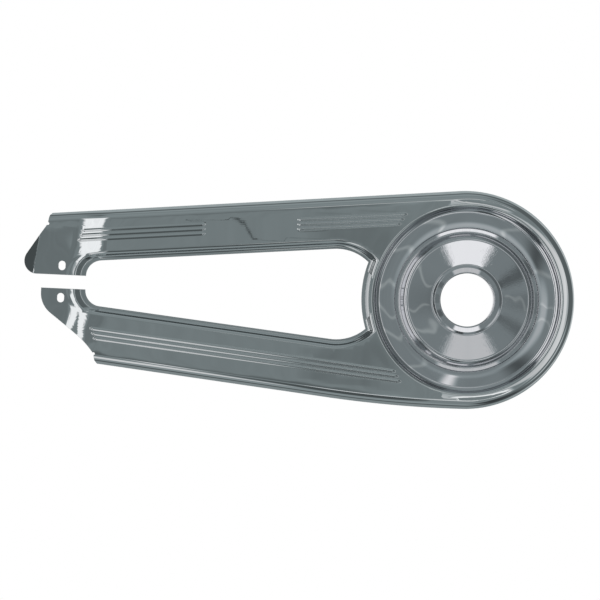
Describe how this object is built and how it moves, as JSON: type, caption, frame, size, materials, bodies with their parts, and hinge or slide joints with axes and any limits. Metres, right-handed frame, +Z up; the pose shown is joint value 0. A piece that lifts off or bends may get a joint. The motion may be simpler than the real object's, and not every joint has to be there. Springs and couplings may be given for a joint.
{
  "type": "motorcycle chain guard",
  "caption": "Pressed sheet-steel chain guard: a round end with a stepped disc and a crank hole, and ribbed arms on either side of a long window, ending in slotted screw tabs.",
  "frame": {"origin": "on the crank axis, in the plane of the back faces of the two screw tabs", "axes": "+X runs forward to the crank end, +Z is up, and +Y points in towards the machine along the crank axis"},
  "size_m": [0.4453, 0.0162, 0.1773],
  "materials": {
    "chrome": "bright chrome plating on pressed steel, with fine polishing marks"
  },
  "bodies": {
    "root": {"chain_guard": "chrome"}
  },
  "joints": []
}
